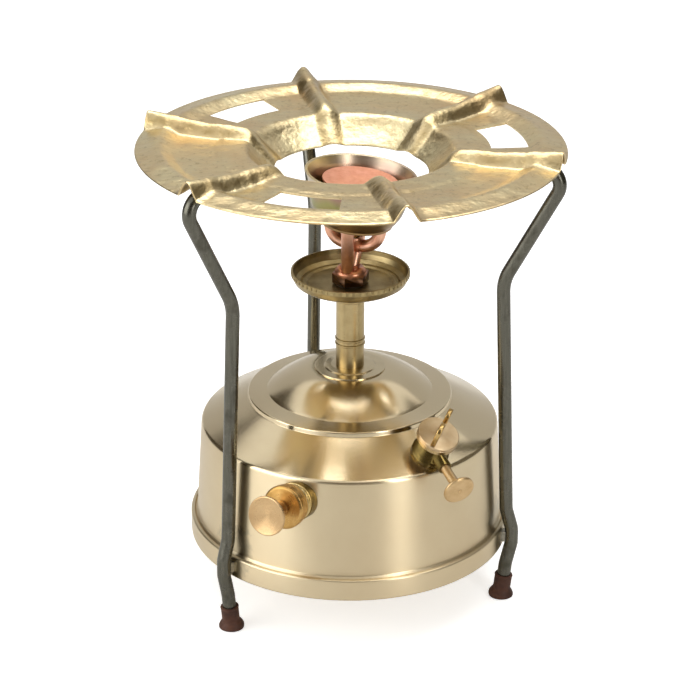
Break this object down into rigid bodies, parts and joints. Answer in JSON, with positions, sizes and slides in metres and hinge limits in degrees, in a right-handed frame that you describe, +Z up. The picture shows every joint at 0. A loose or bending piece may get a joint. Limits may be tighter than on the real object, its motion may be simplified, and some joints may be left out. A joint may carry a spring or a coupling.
{
  "type": "kerosene pressure stove",
  "caption": "Brass kerosene pressure stove: a round fuel tank with hand pump and screwed filler, a riser with a spirit cup, a copper-tube burner, and a pressed pot ring on wire legs.",
  "frame": {"origin": "on the table, under the middle of the stove's bounding box, which is the fuel tank's axis to within half a millimetre", "axes": "+Z up along the tank's axis; the side with the pump and the filler faces -Y; +X is to the right of a person who faces that side"},
  "size_m": [0.222, 0.2216, 0.2571],
  "materials": {
    "tank_brass": "satin, polished and lacquered",
    "dull_brass": "satin, darkened",
    "turned_brass": "machined, fine turning marks",
    "gold_brass": "machined, bright",
    "heated_brass": "cast, heat tinted",
    "ring_brass": "pressed, satin",
    "copper_tube": "drawn, semi-bright",
    "copper_disc": "pressed, matt",
    "leg_steel": "drawn, semi-bright",
    "spring_steel": "drawn",
    "solder": "matt, tinned",
    "foot_rubber": "matt",
    "seal": "matt",
    "leather": "oiled"
  },
  "bodies": {
    "stove": {"tank_shell": "tank_brass", "tank_bottom": "tank_brass", "riser_bush": "dull_brass", "riser_tube": "dull_brass", "dip_tube": "dull_brass", "spirit_cup": "dull_brass", "burner_gasket": "seal", "burner_base": "copper_tube", "upright_front": "copper_tube", "upright_back": "copper_tube", "loop_left": "copper_tube", "loop_right": "copper_tube", "jet_holder": "copper_tube", "jet_nipple": "turned_brass", "burner_cup": "heated_brass", "filler_neck": "dull_brass", "pump_boss": "dull_brass", "pump_barrel": "gold_brass", "pump_gasket": "seal", "pump_cap": "gold_brass", "valve_body": "turned_brass", "valve_seat": "turned_brass", "valve_spring": "spring_steel", "leg_back": "leg_steel", "leg_left": "leg_steel", "leg_right": "leg_steel", "foot_back": "foot_rubber", "foot_left": "foot_rubber", "foot_right": "foot_rubber", "leg_solder": "solder", "pot_ring": "ring_brass"},
    "flame_disc": {"flame_disc": "copper_disc"},
    "filler_seal": {"filler_gasket": "seal"},
    "filler_cap": {"filler_cap": "turned_brass", "filler_wing": "turned_brass"},
    "air_screw": {"air_screw": "turned_brass"},
    "pump_plunger": {"pump_rod": "turned_brass", "pump_knob": "turned_brass", "plunger_washer": "turned_brass", "plunger_leather": "leather", "plunger_nut": "turned_brass"},
    "valve_pip": {"valve_pip": "turned_brass"}
  },
  "joints": [
    {"name": "pump_stroke", "type": "slide", "parent": "stove", "child": "pump_plunger", "axis": [-0.463, -0.8708, 0.165], "range_m": [0, 0.048]},
    {"name": "flame_disc_lift", "type": "slide", "parent": "stove", "child": "flame_disc", "axis": [0.1011, 0, 0.9949], "range_m": [0, 0.025]},
    {"name": "filler_cap_rise", "type": "slide", "parent": "stove", "child": "filler_seal", "axis": [0.2815, -0.3791, 0.8815], "range_m": [0, 0.0075]},
    {"name": "filler_cap_turn", "type": "hinge", "parent": "filler_seal", "child": "filler_cap", "pos_m": [0.04515, -0.06079, 0.11295], "axis": [0.2815, -0.3791, 0.8815], "range_deg": [0, 1800]},
    {"name": "air_screw_turn", "type": "hinge", "parent": "stove", "child": "air_screw", "pos_m": [0.05065, -0.07462, 0.09884], "axis": [0.4019, -0.8619, -0.309], "range_deg": [0, 720]},
    {"name": "valve_pip_lift", "type": "slide", "parent": "stove", "child": "valve_pip", "axis": [0.463, 0.8708, -0.165], "range_m": [0, 0.001], "stiffness_N_per_m": 100, "springref_m": -0.001, "deforming": ["valve_spring"]}
  ],
  "couplings": [
    {"joint": "filler_cap_rise", "follows": "filler_cap_turn", "m_per_rad": 0.00023873}
  ]
}
